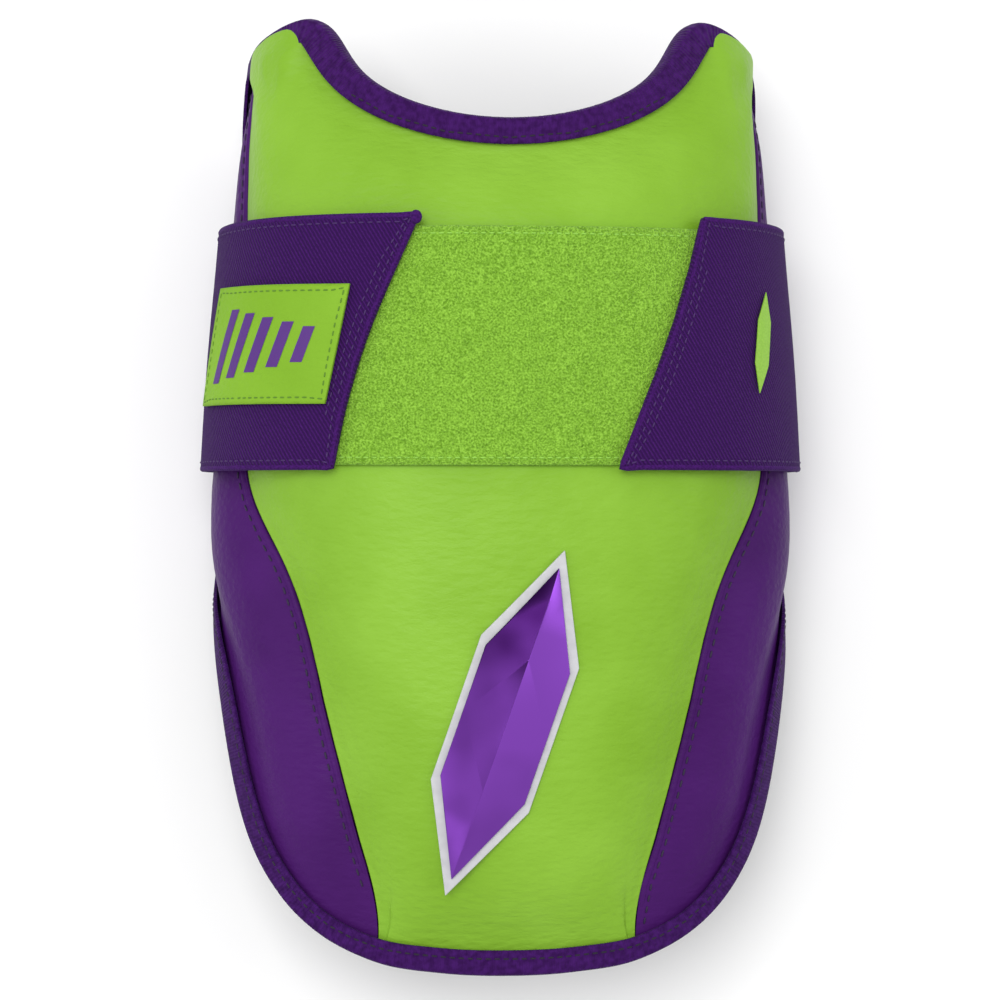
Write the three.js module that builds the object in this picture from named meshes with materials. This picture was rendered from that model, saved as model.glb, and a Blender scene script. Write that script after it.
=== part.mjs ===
// Batter's elbow guard, in millimetres, lying on its back: +Z is up, the lower tip points to -Y
// and the neckline with its two ears to +Y. Every sewn piece is laid on one arched shell. A place
// on the shell is given by its turn and its y. Turn is the angle round from the crown in degrees,
// 90 at the widest level, and below that it goes on down the wall to FOOT_TURN at the floor edge.

import * as THREE from 'three';

// The arched body
const LENGTH = 248;
const WIDTH = 158.4;
const CROWN_RISE = 52;
const WIDEST_LEVEL = 24;
const WALL_REACH = 75;
const ROUNDNESS = 2.25;
const FOOT_TURN = 107;

// What the layers are made of
const PAD = 4;
const PAD_EDGE = 2;
const FRONT_LOFT = 8;
const SIDE_LOFT = 3.4;
const PANEL_EDGE = 1.4;
const TAPE = 0.9;
const TAPE_COVER = 6.3;
const LOOP_PILE = 1.6;
const GAP = 0.5;
const LAYER_GAP = 0.9;
const SEAT = 0.3;

// How far a padded panel takes to rise from its edges
const FRONT_RUN = 20;
const SIDE_RUN = 11;
const SEAM_GAP = 0.6;
const SEAM_MARGIN = 1.2;
const CREASE = 3.8;
const ROOM_SHARE = 0.8;
const ROOM_STEP = 0.09;
const RELAX_ROUNDS = 15;
const SIDE_COLUMNS = 2;
const FIRST_RING = 3;
const LAST_RING = 4;

// How far to either side the shell is felt for its slope, and how often a search is halved
const FEEL = 0.2;
const HALVINGS = 24;

// How the wall's edge rises clear of the strap's hidden stretch, and stands on the floor below it
const FOOT_LIFT = 2.4;
const FOOT_CLEAR = 1;
const FOOT_FALL = 7;
const FOOT_REST = 11;

// The strap and what is sewn on it
const STRAP_WIDTH = 64;
const STRAP = 2;
const STRAP_CENTRE = 0.6556;
const STRAP_BEND = 8;
const STRAP_DOWN = 90;
const LABEL_LENGTH = 40;
const LABEL_HEIGHT = 29.6;
const LABEL_TURN = -76.8;
const LABEL_LEAN = 7;
const LABEL_DROP = 1;
const LABEL = 1;
const MARK_LENGTH = 26;
const MARK_WIDTH = 4.6;
const MARK_TURN = 65.5;
const MARK_SLANT = 8;
const MARK = 0.4;

// The loop field under the strap ends, and the badge
const FIELD_HEAD = 3.6;
const FIELD_FOOT = 1.2;
const FIELD_TURN = 57;
const PLATE_LENGTH = 91;
const PLATE_WIDTH = 26;
const PLATE = 1;
const PLATE_RIM = 1.8;
const PLATE_POINT = 9;
const BLADE_SHOULDER = 0.42;
const BLADE_TAPER = 0.2;
const BADGE_EDGE = 0.5;
const BADGE_RIDGE = 2.4;
const BADGE_SLANT = 19;
const BADGE_PLACE = 0.274;
const BADGE_ASIDE = -1.5;

// Half the body's width and the crown's rise from the lower tip, 0, to the ears, 1
const SECTIONS = [
  { along: 0.00, width: 0.890, rise: 0.80 },
  { along: 0.09, width: 0.930, rise: 0.86 },
  { along: 0.17, width: 0.962, rise: 0.90 },
  { along: 0.27, width: 0.992, rise: 0.94 },
  { along: 0.34, width: 1.000, rise: 0.965 },
  { along: 0.43, width: 1.000, rise: 0.99 },
  { along: 0.52, width: 0.985, rise: 1.00 },
  { along: 0.65, width: 0.960, rise: 1.00 },
  { along: 0.78, width: 0.922, rise: 0.99 },
  { along: 0.89, width: 0.906, rise: 0.96 },
  { along: 1.00, width: 0.870, rise: 0.91 },
];

const FOOT_LEVEL = TAPE + GAP + 2 * SEAT;
const SIDE_BUILD = PAD + LAYER_GAP + SIDE_LOFT;
const FRONT_BUILD = PAD + LAYER_GAP + FRONT_LOFT;
const EDGE_BUILD = PAD_EDGE + LAYER_GAP + PANEL_EDGE + 2 * SEAT;
const STRAP_LOW = STRAP_CENTRE * LENGTH - STRAP_WIDTH / 2;
const STRAP_HIGH = STRAP_LOW + STRAP_WIDTH;

// Right half of the guard's edge, from the middle of the neckline to the lower tip. Across is where
// the edge is seen from the front, as a share of half the width; the wall's rows give their turn.
// A row with steps ends one of the stretches: the neckline, the ear's top, the side, the lower corner
// as far as the seam, and the tip.
const UNDER_STRAP = wallTurn(STRAP + TAPE + GAP + FOOT_LIFT);
const OUTLINE = [
  { across: 0, y: 0.881 * LENGTH },
  { across: 0.217, y: 0.889 * LENGTH },
  { across: 0.400, y: 0.911 * LENGTH },
  { across: 0.500, y: 0.937 * LENGTH },
  { across: 0.548, y: 0.960 * LENGTH },
  { across: 0.590, y: 0.983 * LENGTH },
  { across: 0.640, y: 0.994 * LENGTH, steps: 7 },
  { across: 0.720, y: 0.989 * LENGTH },
  { across: 0.790, y: 0.979 * LENGTH },
  { across: 0.840, y: 0.964 * LENGTH, steps: 4 },
  { turn: 91, y: 0.938 * LENGTH },
  { turn: 99, y: 0.895 * LENGTH },
  { turn: UNDER_STRAP, y: 0.830 * LENGTH },
  { turn: UNDER_STRAP, y: 0.65 * LENGTH },
  { turn: UNDER_STRAP, y: STRAP_LOW + FOOT_CLEAR },
  { turn: FOOT_TURN, y: STRAP_LOW - FOOT_FALL },
  { turn: FOOT_TURN, y: STRAP_LOW - FOOT_FALL - FOOT_REST },
  { turn: 102.5, y: 0.410 * LENGTH },
  { turn: 93, y: 0.374 * LENGTH },
  { across: 0.951, y: 0.339 * LENGTH },
  { across: 0.923, y: 0.276 * LENGTH },
  { across: 0.891, y: 0.213 * LENGTH },
  { across: 0.856, y: 0.165 * LENGTH },
  { across: 0.808, y: 0.124 * LENGTH },
  { across: 0.732, y: 0.086 * LENGTH, steps: 18 },
  { across: 0.598, y: 0.047 * LENGTH },
  { across: 0.425, y: 0.0225 * LENGTH, steps: 4 },
  { across: 0.217, y: 0.0125 * LENGTH },
  { across: 0, y: 0.0095 * LENGTH, steps: 11 },
];

// Right seam between the front panel and the side panel, from the ear's outer corner to the tip
const SEAM = [
  { across: 0.828, along: 0.925 },
  { across: 0.831, along: 0.870 },
  { across: 0.835, along: 0.785 },
  { across: 0.838, along: 0.700 },
  { across: 0.840, along: 0.610 },
  { across: 0.838, along: 0.530 },
  { across: 0.808, along: 0.490 },
  { across: 0.738, along: 0.448 },
  { across: 0.679, along: 0.407 },
  { across: 0.624, along: 0.346 },
  { across: 0.585, along: 0.286 },
  { across: 0.537, along: 0.225 },
  { across: 0.470, along: 0.142 },
  { across: 0.413, along: 0.079 },
];

// Slanted ends of the strap: how far each reaches over the crown line, from lower edge to upper
const STRAP_ENDS = [
  { across: 0.00, left: -0.690, right: 0.415 },
  { across: 0.12, left: -0.672, right: 0.455 },
  { across: 0.33, left: -0.620, right: 0.545 },
  { across: 0.51, left: -0.563, right: 0.612 },
  { across: 0.67, left: -0.500, right: 0.665 },
  { across: 0.83, left: -0.425, right: 0.712 },
  { across: 1.00, left: -0.357, right: 0.752 },
];

const COLOURS = {
  lining: '#2b2b2e',
  lime: '#8fc13f',
  purple: '#542a6e',
  binding: '#502373',
  webbing: '#421c62',
  pale: '#d6d6d6',
  chrome: '#8647b8',
};

// A smooth curve through one column of a table, read at any place between its rows
function readTable(rows, place, column) {
  const slope = (i) => {
    const before = rows[Math.max(i - 1, 0)];
    const after = rows[Math.min(i + 1, rows.length - 1)];
    return (after[column] - before[column]) / (after[place] - before[place]);
  };
  return (at) => {
    let i = 0;
    while (i < rows.length - 2 && at > rows[i + 1][place]) i += 1;
    const span = rows[i + 1][place] - rows[i][place];
    const t = THREE.MathUtils.clamp((at - rows[i][place]) / span, 0, 1);
    const rise = rows[i + 1][column] - rows[i][column];
    const ease = t * t * (3 - 2 * t);
    const bend = t * (1 - t) * ((1 - t) * slope(i) - t * slope(i + 1)) * span;
    return rows[i][column] + rise * ease + bend;
  };
}
const widthAt = readTable(SECTIONS, 'along', 'width');
const riseAt = readTable(SECTIONS, 'along', 'rise');

// Turn of the wall at a level above the floor
function wallTurn(level) {
  return 90 + (FOOT_TURN - 90) * (WIDEST_LEVEL - level) / (WIDEST_LEVEL - FOOT_LEVEL);
}

// The inner face of the guard
function shell(turn, y) {
  const halfWidth = WIDTH / 2 * widthAt(y / LENGTH) - SIDE_BUILD;
  const rise = CROWN_RISE * riseAt(y / LENGTH) - FRONT_BUILD;
  const side = Math.sign(turn);
  const round = Math.abs(turn);
  if (round > 90) {
    const drop = (round - 90) / (FOOT_TURN - 90) * (WIDEST_LEVEL - FOOT_LEVEL);
    const x = halfWidth * (1 - (drop / WALL_REACH) ** ROUNDNESS) ** (1 / ROUNDNESS);
    return new THREE.Vector3(side * x, y, WIDEST_LEVEL - drop);
  }
  const angle = THREE.MathUtils.degToRad(round);
  const across = (Math.sin(angle) / halfWidth) ** ROUNDNESS;
  const up = (Math.cos(angle) / rise) ** ROUNDNESS;
  const reach = (across + up) ** (-1 / ROUNDNESS);
  return new THREE.Vector3(side * reach * Math.sin(angle), y, WIDEST_LEVEL + reach * Math.cos(angle));
}

// How the shell runs on for a degree of turn and for a millimetre of y
function slopes(turn, y) {
  const rise = (after, before) => after.sub(before).divideScalar(2 * FEEL);
  return {
    round: rise(shell(turn + FEEL, y), shell(turn - FEEL, y)),
    along: rise(shell(turn, y + FEEL), shell(turn, y - FEEL)),
  };
}

function shellNormal(turn, y) {
  const { round, along } = slopes(turn, y);
  return round.cross(along).normalize();
}

function onShell(turn, y, height) {
  return shell(turn, y).addScaledVector(shellNormal(turn, y), height);
}

// Where a rising measure reaches what is wanted, between 0 and a highest value
function solve(measure, wanted, highest) {
  let low = 0;
  let high = highest;
  for (let i = 0; i < HALVINGS; i += 1) {
    const middle = (low + high) / 2;
    if (measure(middle) < wanted) low = middle;
    else high = middle;
  }
  return low;
}

// Turn at which the shell, raised by a height, is x to the side of the crown line
function turnAt(x, y, height) {
  return Math.sign(x) * solve((turn) => onShell(turn, y, height).x, Math.abs(x), 90);
}

// Distance over the shell between two places
function distance(a, b) {
  return shell(a.turn, a.y).distanceTo(shell(b.turn, b.y));
}

// The place reached from another by going over the shell in a direction
function goOver(place, direction, by) {
  const { round, along } = slopes(place.turn, place.y);
  return {
    turn: place.turn + by * direction.dot(round) / round.lengthSq(),
    y: place.y + by * direction.dot(along) / along.lengthSq(),
  };
}

function between(a, b, share) {
  return { turn: a.turn + (b.turn - a.turn) * share, y: a.y + (b.y - a.y) * share };
}

const mirrored = (places) => places.map((place) => ({ turn: -place.turn, y: place.y }));
const joined = (...lists) => lists.flatMap((list, i) => (i > 0 ? list.slice(1) : list));

// Both halves of a stretch whose right half starts, or ends, on the crown line
const throughStart = (half) => joined(mirrored(half).reverse(), half);
const throughEnd = (half) => joined(half, mirrored(half).reverse());

// A place moved from a toward b by a distance over the shell
function pullAway(a, b, by) {
  return between(a, b, Math.min(1, by / Math.max(distance(a, b), Number.EPSILON)));
}

// A table row, on the wall or seen from the front at a height over the shell, as a place
function placeOf(row, height) {
  const y = row.y ?? row.along * LENGTH;
  return { turn: row.turn ?? turnAt(row.across * WIDTH / 2, y, height), y };
}

function smoothCurve(places) {
  const points = places.map((place) => new THREE.Vector3(place.turn, place.y, 0));
  return new THREE.CatmullRomCurve3(points, false, 'centripetal');
}

// The edge is one smooth curve over both halves, cut into the stretches of its right half
const [neckline, earTop, flank, lowerCorner, tip] = (() => {
  const lead = 3;
  const rows = OUTLINE.map((row) => placeOf(row, EDGE_BUILD));
  const ahead = mirrored(rows.slice(1, 1 + lead)).reverse();
  const behind = mirrored(rows.slice(-1 - lead, -1)).reverse();
  const curve = smoothCurve([...ahead, ...rows, ...behind]);
  const ends = OUTLINE.flatMap((row, i) => (row.steps ? [i] : []));
  return ends.map((last, k) => {
    const first = k > 0 ? ends[k - 1] : 0;
    const count = OUTLINE[last].steps;
    return range(count).map((share) => {
      const row = lead + first + (last - first) * share;
      const point = curve.getPoint(row / (rows.length + 2 * lead - 1));
      return { turn: Math.min(point.x, FOOT_TURN), y: point.y };
    });
  });
})();
neckline[0].turn = 0;
tip[tip.length - 1].turn = 0;
const side = joined(flank, lowerCorner);
const edge = joined(neckline, earTop, side, tip);

const seam = (() => {
  const rows = [side[0], ...SEAM.map((row) => placeOf(row, EDGE_BUILD)), tip[0]];
  return smoothCurve(rows).getPoints(side.length - 1).map((point) => ({ turn: point.x, y: point.y }));
})();

function linesOf(places) {
  const points = places.map((place) => shell(place.turn, place.y));
  return points.slice(1).map((point, i) => new THREE.Line3(points[i], point));
}

function nearest(lines, point) {
  const foot = new THREE.Vector3();
  return Math.min(...lines.map((line) => line.closestPointToPoint(point, true, foot).distanceTo(point)));
}

// Shortest way from a place to the guard's edge
const edgeLines = linesOf(edge);
function edgeDistance(place) {
  return nearest(edgeLines, shell(Math.abs(place.turn), place.y));
}

// Rounded rise from 0 at an edge to 1 at the end of its run
function puff(distanceIn, run) {
  const t = THREE.MathUtils.clamp(distanceIn / run, 0, 1);
  return 1 - (1 - t) ** 2;
}

function padTop(place) {
  return PAD_EDGE + (PAD - PAD_EDGE) * puff(edgeDistance(place) - TAPE_COVER - CREASE, FRONT_RUN / 2);
}

function panelBottom(place) {
  return padTop(place) + LAYER_GAP;
}

// A panel is thin at its seam and under the tape, and rises from there to its loft
function panelTop(place, loft, run) {
  const fromSeam = puff(place.inset - SEAM_MARGIN, run);
  const fromTape = puff(edgeDistance(place) - TAPE_COVER - CREASE, run);
  return panelBottom(place) + PANEL_EDGE + (loft - PANEL_EDGE) * Math.min(fromSeam, fromTape);
}

// Triangles of a closed body from named grids of points; equal points are merged, flat ones dropped
class Body {
  constructor() {
    this.points = [];
    this.triangles = [];
    this.known = new Map();
  }

  point(vector) {
    const key = vector.toArray().map((value) => Math.round(value * 1e4)).join();
    if (!this.known.has(key)) {
      this.known.set(key, this.points.length);
      this.points.push(vector.clone());
    }
    return this.known.get(key);
  }

  triangle(a, b, c) {
    if (a !== b && b !== c && c !== a) this.triangles.push([a, b, c]);
  }

  // Grid rows run along u, columns along v, and its face looks along u cross v.
  // The diagonals of the two halves mirror each other.
  grid(rows) {
    const index = rows.map((row) => row.map((vector) => this.point(vector)));
    for (let i = 1; i < index.length; i += 1) {
      for (let j = 1; j < index[i].length; j += 1) {
        const corners = [index[i - 1][j - 1], index[i][j - 1], index[i][j], index[i - 1][j]];
        if (j <= (index[i].length - 1) / 2) corners.push(corners.shift());
        const [a, b, c, d] = corners;
        this.triangle(a, b, c);
        this.triangle(a, c, d);
      }
    }
  }

  geometry() {
    const geometry = new THREE.BufferGeometry();
    const position = this.points.flatMap((vector) => vector.toArray());
    geometry.setAttribute('position', new THREE.Float32BufferAttribute(position, 3));
    geometry.setIndex(this.triangles.flat());
    geometry.computeVertexNormals();
    return geometry;
  }
}

const reversed = (rows) => rows.map((row) => [...row].reverse());

// A thin closed slab: its outer grid, its inner grid, and the walls that join them
function slab(outer, inner) {
  const body = new Body();
  const last = outer.length - 1;
  const end = outer[0].length - 1;
  body.grid(outer);
  body.grid(reversed(inner));
  body.grid([inner[0], outer[0]]);
  body.grid([outer[last], inner[last]]);
  body.grid(outer.map((row, i) => [inner[i][0], row[0]]));
  body.grid(outer.map((row, i) => [row[end], inner[i][end]]));
  return body.geometry();
}

// The way square to a closed border, into the layer; the border runs clockwise seen from the front
function inwardAt(border, i) {
  const before = border[(i + border.length - 1) % border.length];
  const after = border[(i + 1) % border.length];
  const way = shell(after.turn, after.y).sub(shell(before.turn, before.y)).normalize();
  return way.cross(shellNormal(border[i].turn, border[i].y));
}

// Radius of the largest circle that touches a border at one place and crosses it nowhere
function roomAt(border, i) {
  const inward = inwardAt(border, i);
  const here = shell(border[i].turn, border[i].y);
  const radii = border.map((other, j) => {
    const way = shell(other.turn, other.y).sub(here);
    const ahead = way.dot(inward);
    if (j !== i && way.length() < SEAT) return 0;
    return ahead > 0 ? way.lengthSq() / (2 * ahead) : Infinity;
  });
  return Math.min(...radii);
}

// Rings inside a border, at its insets where they have room, and gently less where they haven't
function ringsInside(border, insets) {
  const deepest = insets[insets.length - 1];
  const fit = border.map((_, i) => Math.min(1, ROOM_SHARE * roomAt(border, i) / deepest));
  const count = fit.length;
  for (let i = 1; i < 2 * count; i += 1) {
    fit[i % count] = Math.min(fit[i % count], fit[(i - 1) % count] + ROOM_STEP);
  }
  for (let i = 2 * count - 1; i > 0; i -= 1) {
    fit[(i - 1) % count] = Math.min(fit[(i - 1) % count], fit[i % count] + ROOM_STEP);
  }
  const ways = border.map((_, i) => inwardAt(border, i));
  return insets.map((inset) => border.map((place, i) => goOver(place, ways[i], inset * fit[i])));
}

// A net of places filled in between its four sides
function fillIn(north, east, south, west) {
  const bottom = [...south].reverse();
  const left = [...west].reverse();
  const mix = (column, u, v, i, j) => {
    const sides = (1 - v) * north[j][column] + v * bottom[j][column]
      + (1 - u) * left[i][column] + u * east[i][column];
    const top = (1 - u) * north[0][column] + u * north[north.length - 1][column];
    const low = (1 - u) * bottom[0][column] + u * bottom[bottom.length - 1][column];
    return sides - (1 - v) * top - v * low;
  };
  return range(east.length - 1).map((v, i) => range(north.length - 1).map((u, j) => ({
    turn: mix('turn', u, v, i, j),
    y: mix('y', u, v, i, j),
  })));
}

// Moves each place inside a net to the middle of its neighbours, over and over, until it is even
function relax(net) {
  for (let round = 0; round < RELAX_ROUNDS; round += 1) {
    for (let i = 1; i < net.length - 1; i += 1) {
      for (let j = 1; j < net[i].length - 1; j += 1) {
        const around = [net[i - 1][j], net[i + 1][j], net[i][j - 1], net[i][j + 1]];
        net[i][j].turn = around.reduce((sum, place) => sum + place.turn, 0) / 4;
        net[i][j].y = around.reduce((sum, place) => sum + place.y, 0) / 4;
      }
    }
  }
  return net;
}

// A sewn layer inside four stretches of border, clockwise seen from the front: a few rings follow
// the border, and a net fills the middle
function layer({ north, east, south, west, insets, top, bottom }) {
  const stretches = [north, east, south, west].map((stretch) => stretch.slice(0, -1));
  const border = stretches.flat();
  const rings = ringsInside(border, insets).map((ring) => [...ring, ring[0]]);
  const deepest = rings[rings.length - 1];
  let from = 0;
  const sides = stretches.map((stretch) => {
    const places = deepest.slice(from, from + stretch.length + 1);
    from += stretch.length;
    return places;
  });
  const middle = relax(fillIn(...sides));
  const lines = linesOf([...border, border[0]]);
  const raised = (rows, height) => rows.map((row) => row.map((place) => {
    const inset = nearest(lines, shell(place.turn, place.y));
    return onShell(place.turn, place.y, height({ ...place, inset }));
  }));
  const coarse = rings.filter((_, k) => insets[k] === 0 || insets[k] > TAPE_COVER);
  const body = new Body();
  body.grid(raised(rings, top));
  body.grid(raised(middle, top));
  body.grid(reversed(raised(coarse, bottom)));
  body.grid(reversed(raised(middle, bottom)));
  const [upper] = raised(rings.slice(0, 1), top);
  const [lower] = raised(rings.slice(0, 1), bottom);
  body.grid(upper.map((point, i) => [point, lower[i]]));
  return body.geometry();
}

function innerPad() {
  const taped = TAPE_COVER + CREASE;
  return layer({
    north: throughStart(joined(neckline, earTop)),
    east: side,
    south: throughEnd(tip),
    west: mirrored(side).reverse(),
    insets: [0, TAPE_COVER / 2, taped, taped + LAST_RING],
    top: padTop,
    bottom: () => 0,
  });
}

const PANEL_INSETS = [
  0,
  SEAM_MARGIN,
  SEAM_MARGIN + FIRST_RING,
  TAPE_COVER + CREASE,
  TAPE_COVER + CREASE + LAST_RING,
];

function frontPanel() {
  return layer({
    north: throughStart(joined(neckline, earTop)),
    east: seam,
    south: throughEnd(tip),
    west: mirrored(seam).reverse(),
    insets: PANEL_INSETS,
    top: (place) => panelTop(place, FRONT_LOFT, FRONT_RUN),
    bottom: panelBottom,
  });
}

function sidePanel(hand) {
  const last = side.length - 1;
  const inner = seam.map((place, i) => (i > 0 && i < last ? pullAway(place, side[i], SEAM_GAP) : side[i]));
  const right = hand > 0 ? side : mirrored(inner);
  const left = hand > 0 ? inner : mirrored(side);
  return layer({
    north: Array(SIDE_COLUMNS + 1).fill(left[0]),
    east: right,
    south: Array(SIDE_COLUMNS + 1).fill(left[last]),
    west: [...left].reverse(),
    insets: PANEL_INSETS,
    top: (at) => panelTop(at, SIDE_LOFT, SIDE_RUN),
    bottom: panelBottom,
  });
}

// Tape folded over the whole edge, a U whose legs lie on the front and on the lining
function edgeBinding() {
  const loop = [...edge, ...mirrored(edge).reverse().slice(1, -1)];
  const middle = EDGE_BUILD / 2;
  const outside = GAP + TAPE;
  const fold = [90, 35, -35, -90].map((degree) => {
    const angle = THREE.MathUtils.degToRad(degree);
    return [outside * Math.cos(angle), middle + (middle + outside) * Math.sin(angle)];
  });
  const section = [
    [-TAPE_COVER, EDGE_BUILD + outside],
    [-TAPE_COVER / 2, EDGE_BUILD + outside],
    ...fold,
    [-TAPE_COVER / 2, -outside],
    [-TAPE_COVER, -outside],
    [-TAPE_COVER, -GAP],
    [-TAPE_COVER / 2, -GAP],
    [GAP, -GAP],
    [GAP, EDGE_BUILD + GAP],
    [-TAPE_COVER / 2, EDGE_BUILD + GAP],
    [-TAPE_COVER, EDGE_BUILD + GAP],
  ];
  const rows = loop.map((place, i) => {
    const before = loop[(i + loop.length - 1) % loop.length];
    const after = loop[(i + 1) % loop.length];
    const point = shell(place.turn, place.y);
    const up = shellNormal(place.turn, place.y);
    const way = shell(after.turn, after.y).sub(shell(before.turn, before.y)).normalize();
    const out = up.clone().cross(way).normalize();
    const ring = section.map(([o, n]) => {
      if (o > 0) return point.clone().addScaledVector(out, o).addScaledVector(up, n);
      const inward = goOver(place, out, o);
      return onShell(inward.turn, inward.y, n);
    });
    return [...ring, ring[0]];
  });
  const body = new Body();
  body.grid([...rows, rows[0]]);
  return body.geometry();
}

// Lime loop field across the front, between the strap's two edges
function loopField() {
  const height = FRONT_BUILD + SEAT;
  const low = STRAP_LOW + FIELD_FOOT;
  const high = STRAP_HIGH - FIELD_HEAD;
  const grid = (raise) => range(5).map((v) => range(18).map((u) => {
    const turn = THREE.MathUtils.lerp(-FIELD_TURN, FIELD_TURN, u);
    return onShell(turn, THREE.MathUtils.lerp(low, high, v), raise);
  }));
  return slab(reversed(grid(height + LOOP_PILE)), reversed(grid(height)));
}

// Shares from 0 to 1 in a count of steps
function range(steps) {
  return Array.from({ length: steps + 1 }, (_, i) => i / steps);
}

// Height of the strap's underside over the shell: over the loop field in front, down to the side panels
const STRAP_FRONT = FRONT_BUILD + LOOP_PILE + 3 * SEAT;
const STRAP_SIDE = SIDE_BUILD + GAP;
function strapHeight(turn) {
  const down = THREE.MathUtils.smoothstep(Math.abs(turn), FIELD_TURN, STRAP_DOWN);
  return THREE.MathUtils.lerp(STRAP_FRONT, STRAP_SIDE, down);
}

function onStrap(turn, y, height) {
  return onShell(turn, y, strapHeight(turn) + height);
}

// The strap's underside at one y, from its left end round the back to its right end
function strapPath(y, leftX, rightX) {
  const over = (x, side, steps) => {
    const start = turnAt(x, y, STRAP_FRONT);
    const turns = range(steps).map((share) => THREE.MathUtils.lerp(start, side * 90, share));
    return turns.map((turn) => onStrap(turn, y, 0).setY(y));
  };
  const wallEnd = wallTurn(STRAP_BEND + STRAP);
  const corner = (side) => {
    const foot = onStrap(side * wallEnd, y, 0);
    const middle = new THREE.Vector3(foot.x - side * STRAP_BEND, y, STRAP + STRAP_BEND);
    return range(4).map((share) => {
      const angle = share * Math.PI / 2;
      const spoke = new THREE.Vector3(Math.cos(angle) * side, 0, -Math.sin(angle));
      return spoke.multiplyScalar(STRAP_BEND).add(middle);
    });
  };
  const leftCorner = corner(-1);
  const rightCorner = corner(1).reverse();
  const floor = range(8).slice(1, -1).map((share) => leftCorner[4].clone().lerp(rightCorner[0], share));
  return [...over(leftX, -1, 12), ...leftCorner, ...floor, ...rightCorner, ...over(rightX, 1, 10).reverse()];
}

function strap() {
  const leftAt = readTable(STRAP_ENDS, 'across', 'left');
  const rightAt = readTable(STRAP_ENDS, 'across', 'right');
  const rows = range(5).map((across) => {
    const y = STRAP_LOW + across * STRAP_WIDTH;
    return strapPath(y, leftAt(across) * STRAP_WIDTH, rightAt(across) * STRAP_WIDTH);
  });
  const outer = rows.map((row) => row.map((point, i) => {
    const before = row[Math.max(i - 1, 0)];
    const after = row[Math.min(i + 1, row.length - 1)];
    const way = after.clone().sub(before);
    const out = new THREE.Vector3(way.z, 0, -way.x).normalize();
    return point.clone().addScaledVector(out, STRAP);
  }));
  return slab(outer, rows);
}

// A flat patch on the strap, leaning as it goes round
function strapLabel() {
  const degrees = (length) => THREE.MathUtils.radToDeg(length / (WIDTH / 2));
  const grid = (raise) => range(3).map((v) => range(8).map((u) => {
    const turn = LABEL_TURN + degrees(LABEL_LENGTH * u + LABEL_LEAN * (v - 0.5));
    const y = STRAP_CENTRE * LENGTH - LABEL_DROP + LABEL_HEIGHT * (v - 0.5);
    return onStrap(turn, y, STRAP + SEAT + raise);
  }));
  return slab(reversed(grid(LABEL)), reversed(grid(0)));
}

// A long six-sided blank, pointed at both ends, laid at a slant on a raised surface.
// ridge lifts its middle line into facets.
function blade({ length, width, slant, centre, thickness, ridge, lay }) {
  const angle = THREE.MathUtils.degToRad(slant);
  const ahead = [BLADE_SHOULDER, 1 - 2 * BLADE_TAPER, 1 - BLADE_TAPER, 1];
  const stations = [...ahead.map((p) => -p).reverse(), 0, ...ahead];
  const grid = (height) => stations.map((p) => {
    const half = width / 2 * Math.min(1, (1 - Math.abs(p)) / (1 - BLADE_SHOULDER));
    return [-1, 0, 1].map((q) => {
      const along = p * length / 2;
      const across = q * half;
      const x = centre.x + across * Math.cos(angle) + along * Math.sin(angle);
      const y = centre.y + along * Math.cos(angle) - across * Math.sin(angle);
      return lay(x, y, height(Math.min(1, (1 - Math.abs(p)) / BLADE_TAPER), q));
    });
  });
  const facets = grid((share, q) => thickness + (q === 0 ? ridge * share : 0));
  return slab(reversed(facets), reversed(grid(() => 0)));
}

const layOnFront = (base) => (x, y, height) => {
  const raise = FRONT_BUILD + SEAT + base;
  return onShell(turnAt(x, y, raise), y, raise + height);
};

const badge = { slant: BADGE_SLANT, centre: { x: BADGE_ASIDE, y: BADGE_PLACE * LENGTH } };

function emblemBorder() {
  return blade({
    ...badge, length: PLATE_LENGTH, width: PLATE_WIDTH, thickness: PLATE, ridge: 0, lay: layOnFront(0),
  });
}

function emblem() {
  return blade({
    ...badge,
    length: PLATE_LENGTH - PLATE_POINT,
    width: PLATE_WIDTH - 2 * PLATE_RIM,
    thickness: BADGE_EDGE,
    ridge: BADGE_RIDGE,
    lay: layOnFront(PLATE + SEAT),
  });
}

function strapMark() {
  return blade({
    length: MARK_LENGTH,
    width: MARK_WIDTH,
    slant: MARK_SLANT,
    centre: { x: 0, y: STRAP_CENTRE * LENGTH },
    thickness: MARK,
    ridge: 0,
    lay: (x, y, height) => {
      const degrees = THREE.MathUtils.radToDeg(x / (WIDTH / 2));
      return onStrap(MARK_TURN + degrees, y, STRAP + SEAT + height);
    },
  });
}

const group = new THREE.Group();

function add(name, geometry, color, roughness, metalness = 0) {
  const material = new THREE.MeshStandardMaterial({ color, roughness, metalness });
  const mesh = new THREE.Mesh(geometry, material);
  mesh.name = name;
  group.add(mesh);
}

add('inner_pad', innerPad(), COLOURS.lining, 0.9);
add('front_panel', frontPanel(), COLOURS.lime, 0.5);
add('side_panel_left', sidePanel(-1), COLOURS.purple, 0.5);
add('side_panel_right', sidePanel(1), COLOURS.purple, 0.5);
add('edge_binding', edgeBinding(), COLOURS.binding, 0.7);
add('loop_field', loopField(), COLOURS.lime, 0.95);
add('strap', strap(), COLOURS.webbing, 0.8);
add('strap_label', strapLabel(), COLOURS.lime, 0.55);
add('strap_mark', strapMark(), COLOURS.lime, 0.6);
add('emblem_border', emblemBorder(), COLOURS.pale, 0.5);
add('emblem', emblem(), COLOURS.chrome, 0.2, 0.9);

// The origin is under the middle of the whole guard
const box = new THREE.Box3().setFromObject(group);
const middle = box.getCenter(new THREE.Vector3());
group.position.set(-middle.x, -middle.y, -box.min.z);

export default group;
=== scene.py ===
import math
import random

import bmesh
import bpy
from mathutils import Matrix, Vector
from mathutils.bvhtree import BVHTree
from mathutils.kdtree import KDTree


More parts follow.
